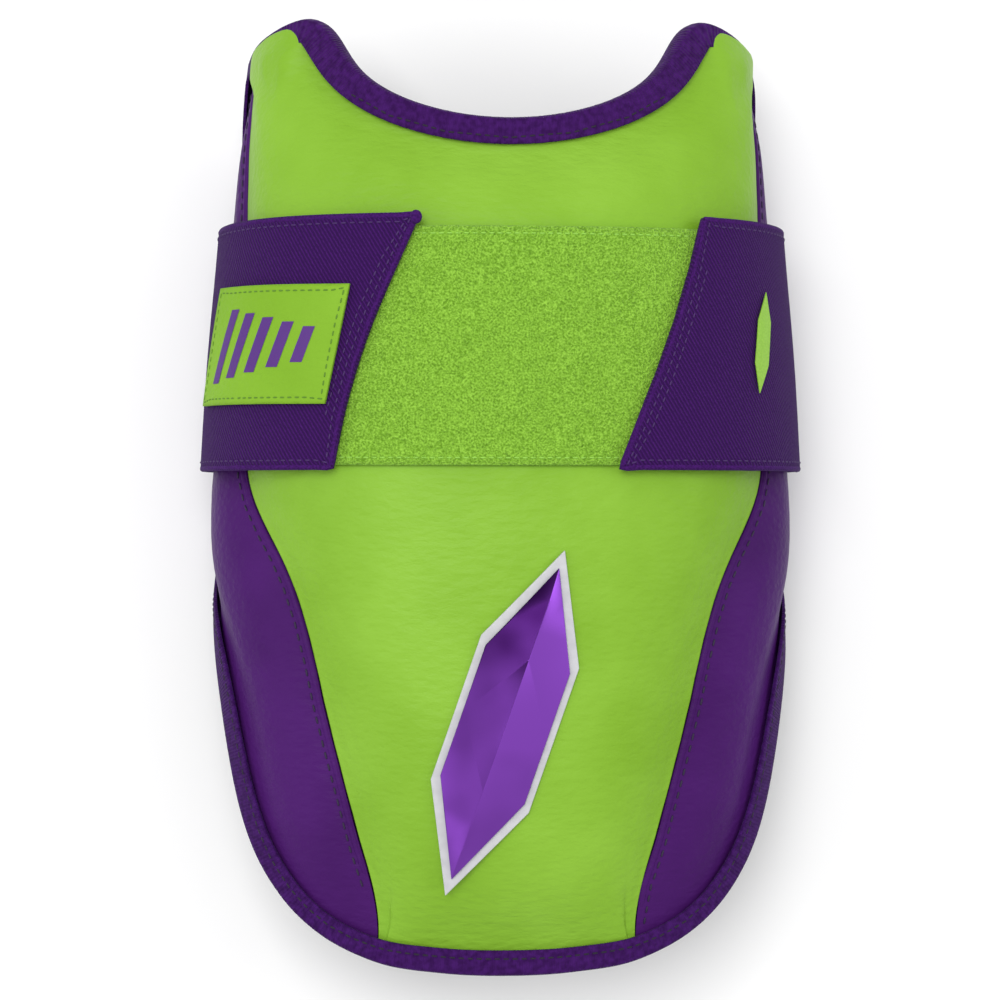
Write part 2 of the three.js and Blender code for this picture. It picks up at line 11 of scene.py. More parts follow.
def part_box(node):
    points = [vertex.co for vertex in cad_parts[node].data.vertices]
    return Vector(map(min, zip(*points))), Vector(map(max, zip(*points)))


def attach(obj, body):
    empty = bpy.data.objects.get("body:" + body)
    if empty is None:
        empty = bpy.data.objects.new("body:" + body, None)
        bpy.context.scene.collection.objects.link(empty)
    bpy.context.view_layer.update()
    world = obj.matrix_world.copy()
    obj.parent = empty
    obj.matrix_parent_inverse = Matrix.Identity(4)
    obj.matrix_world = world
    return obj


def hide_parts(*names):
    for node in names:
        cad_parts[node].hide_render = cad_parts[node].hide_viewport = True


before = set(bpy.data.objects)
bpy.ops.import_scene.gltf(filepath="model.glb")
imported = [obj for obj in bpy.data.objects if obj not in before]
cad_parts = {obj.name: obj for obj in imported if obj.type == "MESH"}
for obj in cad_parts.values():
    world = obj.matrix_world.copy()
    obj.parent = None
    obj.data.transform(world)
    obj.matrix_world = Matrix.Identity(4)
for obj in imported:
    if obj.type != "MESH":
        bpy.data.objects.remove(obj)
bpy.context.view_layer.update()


# Lining: the layer against the arm, thin foam faced with dark knitted cloth. It is cut to the
# guard's whole outline and caught in the binding all round, and the panels are sewn over it.
same_place = 0.00002
rim_angle = math.radians(50)


def only(piece):
    """Selects one piece and nothing else"""
    bpy.ops.object.select_all(action="DESELECT")
    piece.select_set(True)
    bpy.context.view_layer.objects.active = piece


def apply(piece, modifier):
    """Makes what a modifier does the piece's own mesh"""
    only(piece)
    bpy.ops.object.modifier_apply(modifier=modifier.name)


def cut_from(node_name, name, firmness=0.8):
    """A separate copy of one solid of the frame, its triangles joined, its rims kept firm"""
    piece = bpy.data.objects.new(name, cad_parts[node_name].data.copy())
    bpy.context.collection.objects.link(piece)
    only(piece)
    bpy.ops.object.mode_set(mode="EDIT")
    bpy.ops.mesh.select_all(action="SELECT")
    bpy.ops.mesh.remove_doubles(threshold=same_place)
    bpy.ops.mesh.tris_convert_to_quads(face_threshold=0.7, shape_threshold=0.9)
    bpy.ops.mesh.select_all(action="DESELECT")
    bpy.ops.mesh.select_mode(type="EDGE")
    bpy.ops.mesh.edges_select_sharp(sharpness=rim_angle)
    bpy.ops.transform.edge_crease(value=firmness)
    bpy.ops.object.mode_set(mode="OBJECT")
    piece.data.materials.clear()
    return piece


def round_off(piece, levels):
    """Rounds a faceted piece with applied subdivision"""
    smooth = piece.modifiers.new("smooth", "SUBSURF")
    smooth.levels = levels
    smooth.render_levels = levels
    apply(piece, smooth)
    bpy.ops.object.shade_smooth()


def rgb(hex_colour):
    """A colour from a screen, as light, by the usual screen curve"""
    parts = [int(hex_colour[i : i + 2], 16) / 255 for i in (0, 2, 4)]
    return [p / 12.92 if p <= 0.04045 else ((p + 0.055) / 1.055) ** 2.4 for p in parts] + [1]


def finish_of(name, colour, roughness):
    """A plain material, with its tree and its shader"""
    material = bpy.data.materials.new(name)
    material.use_nodes = True
    shader = material.node_tree.nodes["Principled BSDF"]
    shader.inputs["Base Color"].default_value = rgb(colour)
    shader.inputs["Roughness"].default_value = roughness
    return material, material.node_tree, shader


def lay_over(tree, texture, stretch):
    """Lays a texture over a piece in metres, drawn out along an axis"""
    place = tree.nodes.new("ShaderNodeTexCoord")
    mapping = tree.nodes.new("ShaderNodeMapping")
    mapping.inputs["Scale"].default_value = stretch
    tree.links.new(place.outputs["Object"], mapping.inputs["Vector"])
    tree.links.new(mapping.outputs["Vector"], texture.inputs["Vector"])


def noise_at(tree, per_metre, detail=2.0, stretch=(1, 1, 1)):
    """Noise with so many lumps in a metre"""
    noise = tree.nodes.new("ShaderNodeTexNoise")
    noise.inputs["Scale"].default_value = per_metre
    noise.inputs["Detail"].default_value = detail
    lay_over(tree, noise, stretch)
    return noise


def add_bump(tree, shader, height, depth, strength=1.0, after=None):
    """Relief from a height, over relief that is there already"""
    bump = tree.nodes.new("ShaderNodeBump")
    bump.inputs["Strength"].default_value = strength
    bump.inputs["Distance"].default_value = depth
    tree.links.new(height, bump.inputs["Height"])
    if after:
        tree.links.new(after.outputs["Normal"], bump.inputs["Normal"])
    tree.links.new(bump.outputs["Normal"], shader.inputs["Normal"])
    return bump


def tint(tree, shader, factor, low, high, low_at=0.35, high_at=0.65):
    """Base colour between two shades by a factor"""
    shades = tree.nodes.new("ShaderNodeValToRGB")
    shades.color_ramp.elements[0].position = low_at
    shades.color_ramp.elements[0].color = rgb(low)
    shades.color_ramp.elements[1].position = high_at
    shades.color_ramp.elements[1].color = rgb(high)
    tree.links.new(factor, shades.inputs["Fac"])
    tree.links.new(shades.outputs["Color"], shader.inputs["Base Color"])


lining = cut_from("inner_pad", "lining_pad")
round_off(lining, levels=1)
knit, knit_tree, knit_shader = finish_of("dark knitted lining", "2b2b2e", roughness=0.9)
knit_shader.inputs["Sheen Weight"].default_value = 0.3
knit_rows = noise_at(knit_tree, 900, detail=1.0, stretch=(1, 0.5, 1))
tint(knit_tree, knit_shader, knit_rows.outputs["Fac"], "222224", "34343a")
add_bump(knit_tree, knit_shader, knit_rows.outputs["Fac"], depth=0.0004, strength=0.7)
lining.data.materials.append(knit)
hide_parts("inner_pad")
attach(lining, "root")


# Front panel: one piece of lime leather-look vinyl over thick foam, from the neckline down to the
# tip. It is turned under along both seams, puffs up from them, and its rim goes under the binding.
def leather(name, dark, light, roughness, gloss=0.3):
    """Vinyl with a fine pebbled grain that runs across the guard"""
    material, tree, shader = finish_of(name, light, roughness)
    shader.inputs["Specular IOR Level"].default_value = gloss
    shader.inputs["IOR"].default_value = 1.35
    shade = noise_at(tree, 26, detail=3.0)
    tint(tree, shader, shade.outputs["Fac"], dark, light)
    fine = noise_at(tree, 1300, detail=3.0, stretch=(0.5, 1, 1))
    grain = add_bump(tree, shader, fine.outputs["Fac"], depth=0.0003, strength=0.5)
    pebbles = tree.nodes.new("ShaderNodeTexVoronoi")
    pebbles.feature = "SMOOTH_F1"
    pebbles.inputs["Scale"].default_value = 560
    pebbles.inputs["Smoothness"].default_value = 0.7
    lay_over(tree, pebbles, stretch=(0.42, 1.0, 1.0))
    add_bump(tree, shader, pebbles.outputs["Distance"], depth=0.0005, strength=0.4, after=grain)
    return material


arm_height = 0.03
arch_flatness = 2


def outward(point):
    """The way out from the arm at a point, square to an arch that is wider than it is high"""
    return Vector((point.x, 0, arch_flatness * (point.z - arm_height))).normalized()


def rim_of(node_name):
    """The rim of a solid's outer face, as one closed list of points, each with the way in from it"""
    least_turn = math.radians(55)
    least_outward = 0.5
    above_face = 0.0002
    free_above = 0.012
    shape = bmesh.new()
    shape.from_mesh(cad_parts[node_name].data)
    bmesh.ops.remove_doubles(shape, verts=shape.verts, dist=same_place)
    skin = BVHTree.FromBMesh(shape)
    ways = {}
    inward = {}
    for line in shape.edges:
        if line.calc_face_angle_signed(0) < least_turn:
            continue
        middle = (line.verts[0].co + line.verts[1].co) / 2
        face = max(line.link_faces, key=lambda f: f.normal.dot(outward(middle)))
        if face.normal.dot(outward(middle)) < least_outward:
            continue
        start = face.calc_center_median() + face.normal * above_face
        if skin.ray_cast(start, face.normal, free_above)[0] is not None:
            continue
        along = (line.verts[1].co - line.verts[0].co).normalized()
        way = face.calc_center_median() - middle
        way = (way - along * way.dot(along)).normalized()
        for one, other in (line.verts, reversed(line.verts)):
            ways.setdefault(one.index, []).append(other.index)
            inward.setdefault(one.index, []).append(way)
    shape.verts.ensure_lookup_table()
    longest = []
    unused = set(ways)
    while unused:
        here = min(unused, key=lambda i: (len(ways[i]), i))
        walk = []
        while here is not None:
            walk.append(here)
            unused.discard(here)
            here = next((n for n in ways[here] if n in unused), None)
        longest = max(longest, walk, key=len)
    rim = [(shape.verts[i].co.copy(), sum(inward[i], Vector()).normalized()) for i in longest]
    shape.free()
    return rim


def finder_of(rim):
    """A way to ask how far a place is from the points of a rim"""
    tree = KDTree(len(rim))
    for i, (point, _) in enumerate(rim):
        tree.insert(point, i)
    tree.balance()
    return tree


def fill_out(piece, rim, hold, most):
    """Lets the foam press its cover out: a short cloth run, held at the rim and beneath"""
    moments = 20
    upper_side = 0.2
    mesh = piece.data
    finder = finder_of(rim)
    rest = [v.co.copy() for v in mesh.vertices]
    held = piece.vertex_groups.new(name="held")
    sewn = piece.vertex_groups.new(name="sewn")
    for v in mesh.vertices:
        beneath = v.normal.dot(outward(v.co)) < upper_side
        near = finder.find(v.co)[2]
        held.add([v.index], 1.0 if beneath or near < hold else 0.0, "REPLACE")
        sewn.add([v.index], 1.0 if beneath or near < hold / 2 else 0.0, "REPLACE")
    cloth = piece.modifiers.new("cover", "CLOTH")
    cloth.settings.vertex_group_mass = "held"
    cloth.settings.quality = 6
    cloth.settings.mass = 0.25
    cloth.settings.tension_stiffness = 20
    cloth.settings.compression_stiffness = 20
    cloth.settings.bending_stiffness = 2
    cloth.settings.use_pressure = True
    cloth.settings.uniform_pressure_force = 4
    cloth.settings.effector_weights.gravity = 0
    cloth.point_cache.frame_end = moments
    for moment in range(1, moments + 1):
        bpy.context.scene.frame_set(moment)
    apply(piece, cloth)
    bpy.context.scene.frame_set(1)
    for v, was in zip(mesh.vertices, rest):
        move = v.co - was
        if move.length > most:
            v.co = was + move * (most / move.length)


def even_out(piece, times):
    """Takes small kinks out of a cover, and leaves what is held in place"""
    ease = piece.modifiers.new("even", "SMOOTH")
    ease.vertex_group = "sewn"
    ease.invert_vertex_group = True
    ease.factor = 0.5
    ease.iterations = times
    apply(piece, ease)


def uncrease(piece, rim):
    """Frees the hard lines near the ears that aren't at the rim, so that they round off as cloth does"""
    ears_above = 0.09
    ears_beside = 0.038
    off_rim = 0.0005
    finder = finder_of(rim)
    creases = piece.data.attributes["crease_edge"]
    for line in piece.data.edges:
        one, other = (piece.data.vertices[i].co for i in line.vertices)
        by_an_ear = one.y > ears_above and abs(one.x) > ears_beside
        if by_an_ear and max(finder.find(one)[2], finder.find(other)[2]) > off_rim:
            creases.data[line.index].value = 0


def ramp(low, high, value):
    """0 below a low value, 1 above a high one, and smooth between them"""
    t = min(1, max(0, (value - low) / (high - low)))
    return t * t * (3 - 2 * t)


def swell_ears(piece, rim, reach, lift, tape):
    """The foam of both ears bulges over the tape on their outer shoulders, and hides it there"""
    none_below = 0.08
    upper_side = 0.1
    rise_along = (0.096, 0.113)
    rise_across = (0.043, 0.060)
    edge_width = 0.004
    fade = (0.010, 0.026)
    for v in piece.data.vertices:
        if v.co.y < none_below or v.normal.dot(outward(v.co)) < upper_side:
            continue
        best = (math.inf, v.co, v.co)
        for (a, way_a), (b, way_b) in zip(rim, rim[1:] + rim[:1]):
            share = min(1, max(0, (v.co - a).dot(b - a) / (b - a).length_squared))
            foot = a.lerp(b, share)
            if (foot - v.co).length < best[0]:
                best = ((foot - v.co).length, foot, way_a.lerp(way_b, share))
        off, foot, way = best
        over = ramp(*rise_along, foot.y)
        start = tape * (1 - over)
        weight = over * ramp(*rise_across, abs(foot.x))
        weight *= ramp(start, start + edge_width, off) * (1 - ramp(*fade, off))
        v.co += (outward(v.co) * lift - way * reach) * weight


front = cut_from("front_panel", "front_panel_leather")
front_rim = rim_of("front_panel")
uncrease(front, front_rim)
round_off(front, levels=1)
fill_out(front, front_rim, hold=0.009, most=0.0009)
even_out(front, times=12)
swell_ears(front, front_rim, reach=0.0032, lift=0.003, tape=0.0045)
round_off(front, levels=1)
lime_leather = leather("lime vinyl", "78a628", "84b336", roughness=0.46)
front.data.materials.append(lime_leather)
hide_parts("front_panel")
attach(front, "root")


# Side panels: purple vinyl over thin foam, one down each flank. Each is lapped over the rim of the
# front panel, turned under, and topstitched two and a half millimetres from its edge.
def skin_of(piece):
    """A piece's surface, for finding the nearest place on it"""
    shape = bmesh.new()
    shape.from_mesh(piece.data)
    skin = BVHTree.FromBMesh(shape)
    shape.free()
    return skin


def stretches_of(rim, keep):
    """The runs of a closed rim whose places pass a test, each as a list of places"""
    first = next((i for i, (point, way) in enumerate(rim) if not keep(point, way)), None)
    if first is None:
        return [rim + rim[:1]]
    runs = []
    current = []
    for point, way in rim[first:] + rim[:first]:
        if keep(point, way):
            current.append((point, way))
        elif current:
            runs.append(current)
            current = []
    if current:
        runs.append(current)
    return [run for run in runs if len(run) > 1]


def inside(run, inset):
    """A line that keeps a distance from a run of rim"""
    return [point + way * inset for point, way in run]


def even_steps(points, pitch):
    """Places at even steps along a line of points, each with the way it goes"""
    places = []
    carry = pitch / 2
    for a, b in zip(points, points[1:]):
        reach = (b - a).length
        while reach > 0 and carry <= reach:
            places.append((a.lerp(b, carry / reach), (b - a).normalized()))
            carry += pitch
        carry -= reach
    return places


def put_together(pieces, name):
    """Joins copies into one piece whose object sits at the origin"""
    only(pieces[0])
    for piece in pieces:
        piece.select_set(True)
    bpy.ops.object.join()
    whole = bpy.context.object
    whole.name = name
    bpy.ops.object.transform_apply(location=True, rotation=True, scale=True)
    return whole


def sew(name, lines, skin, thread, pitch, stitch, thick, sunk=0.0):
    """A row of stitches on a surface: one rounded stitch, copied along the lines and joined"""
    flatness = 0.8
    squareness = 0.5
    lift = 0.3
    bpy.ops.mesh.primitive_uv_sphere_add(segments=6, ring_count=6, radius=1)
    pattern = bpy.context.object
    pattern.rotation_euler = (math.pi / 2, 0, 0)
    bpy.ops.object.transform_apply(location=False, rotation=True, scale=False)
    for v in pattern.data.vertices:
        v.co.x *= thick
        v.co.y = math.copysign(abs(v.co.y) ** squareness, v.co.y) * stitch / 2
        v.co.z *= thick * flatness
    bpy.ops.object.shade_smooth()
    pattern.data.materials.append(thread)
    stitches = []
    for line in lines:
        for place, way in even_steps(line, pitch):
            spot, normal, _, _ = skin.find_nearest(place)
            across = way.cross(normal).normalized()
            along = normal.cross(across).normalized()
            turn = Matrix((across, along, normal)).transposed().to_4x4()
            stitch_copy = bpy.data.objects.new(name, pattern.data.copy())
            stitch_copy.matrix_world = Matrix.Translation(spot + normal * (thick * lift - sunk)) @ turn
            bpy.context.collection.objects.link(stitch_copy)
            stitches.append(stitch_copy)
    bpy.data.objects.remove(pattern)
    row = put_together(stitches, name)
    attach(row, "root")


def welt(line, skin, radius, sink):
    """The round edge of a turned hem: a tube half sunk in a surface along a line, thinner at its ends"""
    end_share = 0.35
    share_a_step = 0.2
    places = even_steps(line, pitch=0.0015)
    curve = bpy.data.curves.new("welt", "CURVE")
    curve.dimensions = "3D"
    curve.bevel_depth = radius
    curve.bevel_resolution = 2
    curve.use_fill_caps = True
    spline = curve.splines.new("POLY")
    spline.points.add(len(places) - 1)
    for i, (place, _) in enumerate(places):
        spot, normal, _, _ = skin.find_nearest(place)
        spline.points[i].co = (*(spot - normal * sink), 1)
        from_end = min(i, len(places) - 1 - i)
        spline.points[i].radius = min(1, end_share + share_a_step * from_end)
    tube = bpy.data.objects.new("welt", curve)
    bpy.context.collection.objects.link(tube)
    only(tube)
    bpy.ops.object.convert(target="MESH")
    bpy.ops.object.shade_smooth()
    return bpy.context.object


purple_leather = leather("purple vinyl", "3d1457", "471a64", roughness=0.45, gloss=0.12)
purple_thread = finish_of("purple thread", "220d36", roughness=0.7)[0]
fold_inset = 0.0009
seam_inset = 0.0025
for side_name in ("left", "right"):
    panel = cut_from("side_panel_" + side_name, "side_panel_" + side_name + "_leather")
    round_off(panel, levels=1)
    side_rim = rim_of("side_panel_" + side_name)
    fill_out(panel, side_rim, hold=0.006, most=0.0006)
    round_off(panel, levels=1)
    panel.data.materials.append(purple_leather)
    panel_skin = skin_of(panel)

    top = max(range(len(side_rim)), key=lambda i: side_rim[i][0].y)
    side_rim = side_rim[top:] + side_rim[:top]
    low = min(range(len(side_rim)), key=lambda i: side_rim[i][0].y)
    halves = (side_rim[: low + 1], side_rim[low:] + side_rim[:1])
    inner_half = min(halves, key=lambda half: sum(abs(p.x) for p, _ in half) / len(half))
    seam_run = inner_half[2:-1]
    fold = welt(inside(seam_run, fold_inset), panel_skin, radius=0.0011, sink=0.00075)
    fold.data.materials.append(purple_leather)
    seam_line = inside(seam_run, seam_inset)
    sew("seam_stitches_" + side_name, [seam_line], panel_skin, purple_thread,
        pitch=0.0031, stitch=0.0019, thick=0.0003)
    panel = put_together([panel, fold], panel.name)
    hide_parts("side_panel_" + side_name)
    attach(panel, "root")


# Binding: grosgrain tape folded over the guard's whole edge and sewn through from the front, with
# small ribs across it. It holds the panels and the lining together all the way round.
def lay_along(piece, line, name, flat=False):
    """A map in metres that runs along a line, so that ribs and weave follow the tape"""
    lengths = [0.0]
    for a, b in zip(line, line[1:]):
        lengths.append(lengths[-1] + (b - a).length)
    whole = lengths[-1]
    closed = (line[0] - line[-1]).length < same_place
    places = []
    for v in piece.data.vertices:
        here = Vector((v.co.x, line[0].y, v.co.z)) if flat else v.co
        best = (math.inf, 0.0)
        for i, (a, b) in enumerate(zip(line, line[1:])):
            way = b - a
            share = min(1, max(0, (here - a).dot(way) / way.length_squared))
            off = (a + way * share - here).length
            if off < best[0]:
                best = (off, lengths[i] + way.length * share)
        places.append((best[1], v.co.y if flat else best[0]))
    layer = piece.data.uv_layers.new(name=name)
    for face in piece.data.polygons:
        corners = [places[piece.data.loops[i].vertex_index] for i in face.loop_indices]
        wraps = closed and max(u for u, _ in corners) - min(u for u, _ in corners) > whole / 2
        for i, (u, v) in zip(face.loop_indices, corners):
            layer.data[i].uv = (u + whole if wraps and u < whole / 2 else u, v)


def ribs_at(tree, map_name, pitch, degrees=0.0, wobble=0.0):
    """Even ribs along a piece's own map, at a pitch in metres"""
    pitch_at_scale_1 = math.pi / 10
    place = tree.nodes.new("ShaderNodeUVMap")
    place.uv_map = map_name
    mapping = tree.nodes.new("ShaderNodeMapping")
    mapping.inputs["Rotation"].default_value = (0, 0, math.radians(degrees))
    wave = tree.nodes.new("ShaderNodeTexWave")
    wave.bands_direction = "X"
    wave.inputs["Scale"].default_value = pitch_at_scale_1 / pitch
    wave.inputs["Distortion"].default_value = wobble
    wave.inputs["Detail Scale"].default_value = 3
    tree.links.new(place.outputs["UV"], mapping.inputs["Vector"])
    tree.links.new(mapping.outputs["Vector"], wave.inputs["Vector"])
    return wave


binding = cut_from("edge_binding", "edge_binding_tape")
binding_rim = rim_of("edge_binding")
binding_line = [point for point, _ in binding_rim]
lay_along(binding, binding_line + binding_line[:1], "tape")
round_off(binding, levels=2)
tape, tape_tree, tape_shader = finish_of("purple binding tape", "3d1558", roughness=0.7)
tape_shader.inputs["Specular IOR Level"].default_value = 0.15
tape_shader.inputs["IOR"].default_value = 1.25
tape_shader.inputs["Sheen Weight"].default_value = 0.04
tape_shade = noise_at(tape_tree, 700, detail=3.0)
tint(tape_tree, tape_shader, tape_shade.outputs["Fac"], "300d49", "401760")
tape_ribs = ribs_at(tape_tree, "tape", pitch=0.0009)
tape_relief = add_bump(tape_tree, tape_shader, tape_ribs.outputs["Fac"], depth=0.00022, strength=0.8)
yarn = noise_at(tape_tree, 2200)
add_bump(tape_tree, tape_shader, yarn.outputs["Fac"], depth=0.0002, strength=0.5, after=tape_relief)
binding.data.materials.append(tape)
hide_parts("edge_binding")
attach(binding, "root")
dark_thread = finish_of("dark purple thread", "170725", roughness=0.75)[0]
shoulder_beside = 0.047
shoulder_above = 0.104
in_sight = stretches_of(
    binding_rim, lambda point, way: abs(point.x) < shoulder_beside or point.y < shoulder_above)
binding_rows = [inside(run, inset=0.0021) for run in in_sight]
sew("binding_stitches", binding_rows, skin_of(binding), dark_thread,
    pitch=0.0023, stitch=0.0015, thick=0.00028, sunk=0.0001)


# Loop field: lime hook-and-loop tape, the soft half, sewn flat across the front panel under the
# strap's ends so that they can be pressed down anywhere along it.
field = cut_from("loop_field", "loop_field_tape")
round_off(field, levels=2)
loops_finish, loops_tree, loops_shader = finish_of("lime loop pile", "86ba34", roughness=0.95)
loops_shader.inputs["Sheen Weight"].default_value = 0.1
loops_shader.inputs["Specular IOR Level"].default_value = 0.15
loops_fuzz = noise_at(loops_tree, 1900, detail=4.0)
tint(loops_tree, loops_shader, loops_fuzz.outputs["Fac"], "66951f", "98cd46", low_at=0.36, high_at=0.66)
add_bump(loops_tree, loops_shader, loops_fuzz.outputs["Fac"], depth=0.0009, strength=0.9)
field.data.materials.append(loops_finish)
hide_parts("loop_field")
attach(field, "root")
field_skin = skin_of(field)
field_rim = rim_of("loop_field")
nearly_along = 0.9
long_edges = stretches_of(field_rim, lambda point, way: abs(way.y) > nearly_along)
lime_thread = finish_of("lime thread", "8fc449", roughness=0.7)[0]
field_rows = [inside(run, inset=0.0019) for run in long_edges]
sew("field_stitches", field_rows, field_skin, lime_thread, pitch=0.0021, stitch=0.0013, thick=0.00022)

random.seed(7)
hair_count = 5200
hair_length = 0.0011
hair_radius = 0.00006
hair_bow = 0.0003
hair_above = 0.00008
over_guard = 0.2
bpy.ops.mesh.primitive_cylinder_add(
    vertices=3, radius=hair_radius, depth=hair_length, end_fill_type="TRIFAN")
hair = bpy.context.object
bpy.ops.object.mode_set(mode="EDIT")
bpy.ops.mesh.select_all(action="SELECT")
bpy.ops.mesh.bisect(plane_co=(0, 0, 0), plane_no=(0, 0, 1))
bpy.ops.object.mode_set(mode="OBJECT")
for v in hair.data.vertices:
    bow = 1 - (v.co.z / (hair_length / 2)) ** 2
    v.co = (v.co.x, v.co.z, bow * hair_bow - v.co.y)
hair.data.materials.append(loops_finish)
field_low, field_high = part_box("loop_field")
hairs = []
for _ in range(hair_count):
    x = random.uniform(field_low[0], field_high[0])
    y = random.uniform(field_low[1], field_high[1])
    spot, normal, _, _ = field_skin.ray_cast(Vector((x, y, over_guard)), Vector((0, 0, -1)))
    if spot is None:
        continue
    turn = normal.to_track_quat("Z", "Y").to_matrix().to_4x4()
    spin = Matrix.Rotation(random.uniform(0, 2 * math.pi), 4, "Z")
    tilt = Matrix.Rotation(random.uniform(-0.9, 0.4), 4, "X")
    length = Matrix.Scale(random.uniform(0.5, 1.1), 4)
    fibre = bpy.data.objects.new("pile", hair.data.copy())
    fibre.matrix_world = Matrix.Translation(spot + normal * hair_above) @ turn @ spin @ tilt @ length
    bpy.context.collection.objects.link(fibre)
    hairs.append(fibre)
bpy.data.objects.remove(hair)
pile = put_together(hairs, "loop_field_pile")
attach(pile, "root")


# Strap: one length of woven polyester webbing that goes round the back of the arm, with its two
# slanted ends pressed on the loop field from both sides. The ends are turned under and stitched.
strap = cut_from("strap", "strap_webbing")
strap_rim = rim_of("strap")
strap_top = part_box("strap")[1].y
edge_slack = 0.002
weft_spare = 0.03
upper = max(stretches_of(strap_rim, lambda point, way: point.y > strap_top - edge_slack), key=len)
weft = [point for point, _ in upper]
weft.insert(0, weft[0] + (weft[0] - weft[1]).normalized() * weft_spare)
weft.append(weft[-1] + (weft[-1] - weft[-2]).normalized() * weft_spare)
lay_along(strap, weft, "weave", flat=True)
round_off(strap, levels=2)


def webbing_of(name, dark, light, twill):
    """Woven polyester: steep diagonal ribs, broken up by the yarns that cross them"""
    material, tree, shader = finish_of(name, dark, roughness=0.72)
    shader.inputs["Specular IOR Level"].default_value = 0.12
    shader.inputs["IOR"].default_value = 1.25
    shader.inputs["Sheen Weight"].default_value = 0.03
    yarns = noise_at(tree, 1900, detail=3.0)
    relief = add_bump(tree, shader, yarns.outputs["Fac"], depth=0.0004, strength=0.6)
    if twill:
        ribs = ribs_at(tree, "weave", pitch=0.00088, degrees=twill, wobble=1.2)
        blend = tree.nodes.new("ShaderNodeMath")
        blend.operation = "MULTIPLY"
        tree.links.new(ribs.outputs["Fac"], blend.inputs[0])
        tree.links.new(yarns.outputs["Fac"], blend.inputs[1])
        tint(tree, shader, blend.outputs["Value"], dark, light, low_at=0.15, high_at=0.6)
        add_bump(tree, shader, ribs.outputs["Fac"], depth=0.0003, strength=0.8, after=relief)
    else:
        tint(tree, shader, yarns.outputs["Fac"], dark, light)
    return material


webbing = webbing_of("purple webbing", "2f1149", "451b66", twill=-32)
hem_webbing = webbing_of("purple webbing hem", "32114d", "441a65", twill=0)
strap.data.materials.append(webbing)
strap_skin = skin_of(strap)
lowest_hem = 0.014
lowest_end = 0.04
end_slant = 0.7
off_floor = stretches_of(strap_rim, lambda point, way: point.z > lowest_hem)
hems = [welt(inside(run, inset=0.0008), strap_skin, radius=0.0009, sink=0.00072) for run in off_floor]
for hem in hems:
    hem.data.materials.append(hem_webbing)
slanted_ends = stretches_of(
    strap_rim, lambda point, way: abs(way.y) < end_slant and point.z > lowest_end)
strap_thread = finish_of("strap thread", "3a1759", roughness=0.7)[0]
hem_rows = [inside(run, inset=0.0024) for run in off_floor]
hem_rows += [inside(run, inset=0.0042) for run in slanted_ends]
sew("strap_stitches", hem_rows, strap_skin, strap_thread, pitch=0.0023, stitch=0.0014, thick=0.00024)

corner = min(upper[0][0], upper[-1][0], key=lambda point: point.x)
knob_offset = Vector((-0.0007, -0.0012, 0))
bpy.ops.mesh.primitive_uv_sphere_add(
    segments=16, ring_count=10, radius=0.0016, location=corner + knob_offset)
knob = bpy.context.object
knob.scale = (0.95, 1.1, 0.7)
bpy.ops.object.shade_smooth()
knob.data.materials.append(hem_webbing)
strap = put_together([strap, *hems, knob], strap.name)
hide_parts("strap")
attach(strap, "root")


# Label: a lime vinyl patch sewn on the strap's left side close to its edge, printed with a plain
# row of slanted bars that get shorter toward the strap's end.
label = cut_from("strap_label", "strap_label_patch", firmness=1.0)
round_off(label, levels=3)
lime_patch = leather("lime patch vinyl", "78a52a", "80ae30", roughness=0.55, gloss=0.15)
label.data.materials.append(lime_patch)
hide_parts("strap_label")
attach(label, "root")
label_skin = skin_of(label)
label_rim = rim_of("strap_label")
# The thread is lime; its dark green here is painted shade of the holes it sinks into
label_thread_painted_shade = finish_of("label thread with painted hole shade", "557f1c", roughness=0.8)[0]
label_row = inside(label_rim + label_rim[:1], inset=0.0016)
sew("label_stitches", [label_row], label_skin, label_thread_painted_shade,
    pitch=0.0021, stitch=0.0013, thick=0.00022, sunk=0.00005)

# Each corner of the slanted patch is the point of its rim that lies furthest one way
label_points = [point for point, _ in label_rim]
slight = 0.4
steep = 0.8
foot_left = min(label_points, key=lambda p: p.x + slight * p.y)
foot_right = max(label_points, key=lambda p: p.x - steep * p.y)
head_left = max(label_points, key=lambda p: p.y - steep * p.x)
head_right = max(label_points, key=lambda p: p.x + slight * p.y)
bar_print = finish_of("purple bar print", "4a1775", roughness=0.6)[0]
bar_count = 5
tallest = 0.62
shorter_by = 0.08
first_at = 0.22
bar_spacing = 0.145
bar_width = 0.075
bar_slant = 0.12
print_above = 0.00012
well_above = 0.006
bars = []
for index in range(bar_count):
    bpy.ops.mesh.primitive_grid_add(x_subdivisions=6, y_subdivisions=14, size=1)
    bar = bpy.context.object
    for v in bar.data.vertices:
        rise = v.co.y * (tallest - shorter_by * index)
        u = first_at + bar_spacing * index + v.co.x * bar_width + rise * bar_slant
        w = 0.5 + rise
        flat = foot_left.lerp(foot_right, u).lerp(head_left.lerp(head_right, u), w)
        spot, normal, _, _ = label_skin.find_nearest(flat + outward(flat) * well_above)
        v.co = spot + normal * print_above
    bar.data.materials.append(bar_print)
    bars.append(bar)
bar_row = put_together(bars, "label_bars")
bpy.ops.object.shade_smooth()
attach(bar_row, "root")


# Strap mark: a thin lime film with six corners, cut to shape and pressed on the strap's right side
# with heat. Its edges are eased a little, and nothing else holds it.
def ease_edges(piece, width):
    """A small bevel along the hard edges of a moulded piece"""
    edge = piece.modifiers.new("edge", "BEVEL")
    edge.width = width
    edge.segments = 3
    edge.limit_method = "ANGLE"
    edge.angle_limit = math.radians(30)
    apply(piece, edge)


